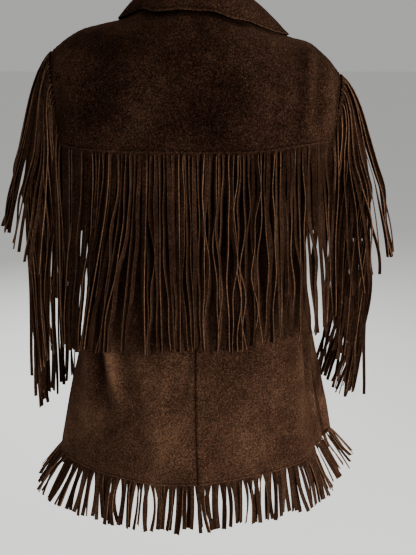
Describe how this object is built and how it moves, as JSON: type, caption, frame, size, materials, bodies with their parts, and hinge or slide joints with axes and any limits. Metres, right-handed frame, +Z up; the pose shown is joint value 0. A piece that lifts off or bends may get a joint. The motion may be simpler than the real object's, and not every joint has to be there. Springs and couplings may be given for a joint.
{
  "type": "fringed suede jacket",
  "caption": "Worn-form suede jacket with a fringed back yoke, fringed armholes, sleeves and hem, a turned-down collar and an open front.",
  "frame": {"origin": "on the wearer's middle line at the height of the neck points, straight over the side seams; the mount wearer_neck", "axes": "+Z up along the wearer's neck, +Y towards the back of the jacket, +X towards the wearer's left"},
  "size_m": [0.6322, 0.3858, 0.8453],
  "materials": {
    "suede": "dark brown napped suede",
    "suede_fringe": "dark brown napped suede, cut in strands"
  },
  "bodies": {
    "root": {"back_yoke": "suede", "back_left": "suede", "back_right": "suede", "front_left": "suede", "front_right": "suede", "collar": "suede", "sleeve_top_left": "suede", "sleeve_top_right": "suede", "sleeve_under_left": "suede", "sleeve_under_right": "suede", "yoke_fringe": "suede_fringe", "armhole_fringe_left": "suede_fringe", "armhole_fringe_right": "suede_fringe", "sleeve_fringe_left": "suede_fringe", "sleeve_fringe_right": "suede_fringe", "hem_fringe_back": "suede_fringe", "hem_fringe_front_left": "suede_fringe", "hem_fringe_front_right": "suede_fringe"}
  },
  "joints": []
}
